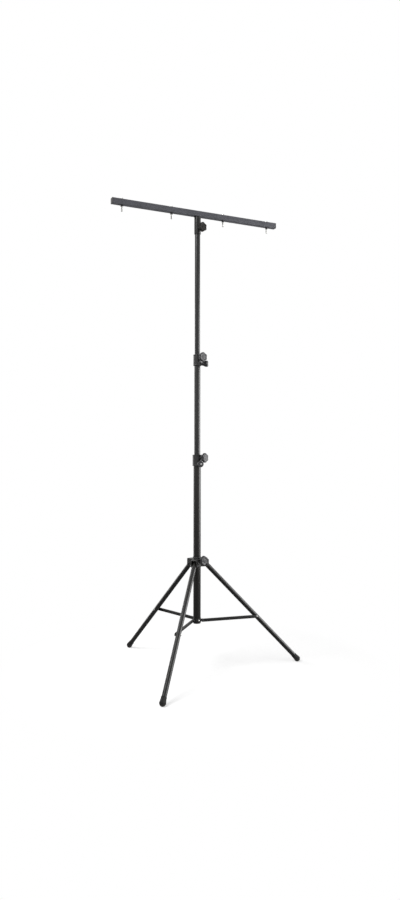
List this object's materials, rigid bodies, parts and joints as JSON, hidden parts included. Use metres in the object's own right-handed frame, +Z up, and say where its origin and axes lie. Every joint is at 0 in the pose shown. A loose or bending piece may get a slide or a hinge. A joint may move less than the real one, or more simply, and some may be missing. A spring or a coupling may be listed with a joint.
{
  "type": "telescopic light stand",
  "caption": "Floor-standing telescopic lighting stand: folding braced tripod, three-section clamped mast and a swivelling crossbar with hanging lamp bolts.",
  "frame": {"origin": "on the floor, in the middle of the rectangle that the set-up stand covers seen from above", "axes": "+Z up along the mast; X along the crossbar; the picture looks towards +Y and +X"},
  "size_m": [1.2854, 1.2228, 2.9745],
  "materials": {
    "black_coat": "semi-gloss black powder coat on steel tube",
    "crossbar_coat": "satin grey-black powder coat on square steel tube",
    "black_casting": "black coated die casting",
    "knob_plastic": "fine-grained black plastic",
    "cap_plastic": "plain black moulded plastic",
    "nylon": "black nylon",
    "rubber": "matte black rubber",
    "zinc_plate": "bright zinc plate",
    "black_zinc_plate": "black passivated zinc plate"
  },
  "bodies": {
    "base": {"lower_tube": "black_coat", "mast_end_plug": "cap_plastic", "strut_hub": "black_coat", "hub_bolt": "zinc_plate", "hub_pin_1": "black_zinc_plate", "hub_pin_2": "black_zinc_plate", "hub_pin_3": "black_zinc_plate", "lower_clamp_collar": "black_casting", "lower_clamp_bush": "nylon", "lower_plunger_body": "black_zinc_plate"},
    "middle_section": {"middle_tube": "black_coat", "middle_tube_foot": "nylon", "upper_clamp_collar": "black_casting", "upper_clamp_bush": "nylon", "upper_plunger_body": "black_zinc_plate"},
    "upper_section": {"upper_tube": "black_coat", "upper_tube_foot": "nylon"},
    "crossbar": {"crossbar_tube": "crossbar_coat", "crossbar_cap_left": "cap_plastic", "crossbar_cap_right": "cap_plastic", "receiver_sleeve": "black_coat", "lamp_bolt_1": "zinc_plate", "lamp_bolt_2": "zinc_plate", "lamp_bolt_3": "zinc_plate", "lamp_bolt_4": "zinc_plate", "lamp_nut_1": "black_zinc_plate", "lamp_nut_2": "black_zinc_plate", "lamp_nut_3": "black_zinc_plate", "lamp_nut_4": "black_zinc_plate"},
    "leg_collar": {"leg_collar": "black_casting", "leg_pin_1": "black_zinc_plate", "leg_pin_2": "black_zinc_plate", "leg_pin_3": "black_zinc_plate"},
    "leg_1": {"leg_tube_1": "black_coat", "leg_plug_1": "cap_plastic", "foot_1": "rubber", "strut_bolt_1": "zinc_plate"},
    "leg_2": {"leg_tube_2": "black_coat", "leg_plug_2": "cap_plastic", "foot_2": "rubber", "strut_bolt_2": "zinc_plate"},
    "leg_3": {"leg_tube_3": "black_coat", "leg_plug_3": "cap_plastic", "foot_3": "rubber", "strut_bolt_3": "zinc_plate"},
    "strut_1": {"strut_1": "black_coat"},
    "strut_2": {"strut_2": "black_coat"},
    "strut_3": {"strut_3": "black_coat"},
    "receiver_screw": {"receiver_knob": "knob_plastic", "receiver_screw": "zinc_plate"},
    "upper_clamp_screw": {"upper_clamp_knob": "knob_plastic", "upper_clamp_screw": "zinc_plate"},
    "lower_clamp_screw": {"lower_clamp_knob": "knob_plastic", "lower_clamp_screw": "zinc_plate"},
    "leg_collar_screw": {"leg_collar_knob": "knob_plastic", "leg_collar_screw": "zinc_plate"},
    "upper_plunger": {"upper_plunger_knob": "knob_plastic", "upper_plunger_pin": "zinc_plate"},
    "lower_plunger": {"lower_plunger_knob": "knob_plastic", "lower_plunger_pin": "zinc_plate"}
  },
  "joints": [
    {"name": "middle_section_slide", "type": "slide", "parent": "base", "child": "middle_section", "axis": [0, 0, 1], "range_m": [-0.555, 0.248]},
    {"name": "upper_section_slide", "type": "slide", "parent": "middle_section", "child": "upper_section", "axis": [0, 0, 1], "range_m": [-0.77, 0.07]},
    {"name": "crossbar_swivel", "type": "hinge", "parent": "upper_section", "child": "crossbar", "pos_m": [-0.06023, -0.06514, 2.8205], "axis": [0, 0, 1], "continuous": true},
    {"name": "leg_collar_slide", "type": "slide", "parent": "base", "child": "leg_collar", "axis": [0, 0, 1], "range_m": [0, 0.501]},
    {"name": "leg_hinge_1", "type": "hinge", "parent": "leg_collar", "child": "leg_1", "pos_m": [0.00166, -0.07695, 0.67833], "axis": [0.1874, 0.9823, 0], "range_deg": [0, 43.8]},
    {"name": "leg_hinge_2", "type": "hinge", "parent": "leg_collar", "child": "leg_2", "pos_m": [-0.08095, -0.00564, 0.67833], "axis": [-0.9444, -0.3289, 0], "range_deg": [0, 43.8]},
    {"name": "leg_hinge_3", "type": "hinge", "parent": "leg_collar", "child": "leg_3", "pos_m": [-0.10139, -0.11283, 0.67833], "axis": [0.757, -0.6534, 0], "range_deg": [0, 43.8]},
    {"name": "strut_hinge_1", "type": "hinge", "parent": "base", "child": "strut_1", "pos_m": [-0.02801, -0.07129, 0.319], "axis": [0.1874, 0.9823, 0], "range_deg": [-84.64, 0]},
    {"name": "strut_hinge_2", "type": "hinge", "parent": "base", "child": "strut_2", "pos_m": [-0.07102, -0.03417, 0.319], "axis": [-0.9444, -0.3289, 0], "range_deg": [-84.64, 0]},
    {"name": "strut_hinge_3", "type": "hinge", "parent": "base", "child": "strut_3", "pos_m": [-0.08166, -0.08997, 0.319], "axis": [0.757, -0.6534, 0], "range_deg": [-84.64, 0]},
    {"name": "receiver_knob_turn", "type": "hinge", "parent": "crossbar", "child": "receiver_screw", "pos_m": [-0.04729, -0.11344, 2.8565], "axis": [0.2588, -0.9659, 0], "continuous": true},
    {"name": "upper_clamp_knob_turn", "type": "hinge", "parent": "middle_section", "child": "upper_clamp_screw", "pos_m": [-0.04729, -0.11344, 2.0185], "axis": [0.2588, -0.9659, 0], "continuous": true},
    {"name": "lower_clamp_knob_turn", "type": "hinge", "parent": "base", "child": "lower_clamp_screw", "pos_m": [-0.03523, -0.10844, 1.37], "axis": [0.5, -0.866, 0], "continuous": true},
    {"name": "leg_collar_knob_turn", "type": "hinge", "parent": "leg_collar", "child": "leg_collar_screw", "pos_m": [-0.04378, -0.11236, 0.70983], "axis": [0.3289, -0.9444, 0], "continuous": true},
    {"name": "upper_plunger_pull", "type": "slide", "parent": "middle_section", "child": "upper_plunger", "axis": [0.766, -0.6428, 0], "range_m": [0, 0.008], "stiffness_N_per_m": 500, "springref_m": -0.012},
    {"name": "lower_plunger_pull", "type": "slide", "parent": "base", "child": "lower_plunger", "axis": [-0.1045, -0.9945, 0], "range_m": [0, 0.008], "stiffness_N_per_m": 500, "springref_m": -0.012}
  ],
  "couplings": [
    {"joint": "leg_hinge_1", "follows": "leg_collar_slide", "rad_per_m": 1.5243},
    {"joint": "leg_hinge_2", "follows": "leg_collar_slide", "rad_per_m": 1.5243},
    {"joint": "leg_hinge_3", "follows": "leg_collar_slide", "rad_per_m": 1.5243},
    {"joint": "strut_hinge_1", "follows": "leg_collar_slide", "rad_per_m": -2.9451},
    {"joint": "strut_hinge_2", "follows": "leg_collar_slide", "rad_per_m": -2.9451},
    {"joint": "strut_hinge_3", "follows": "leg_collar_slide", "rad_per_m": -2.9451}
  ]
}
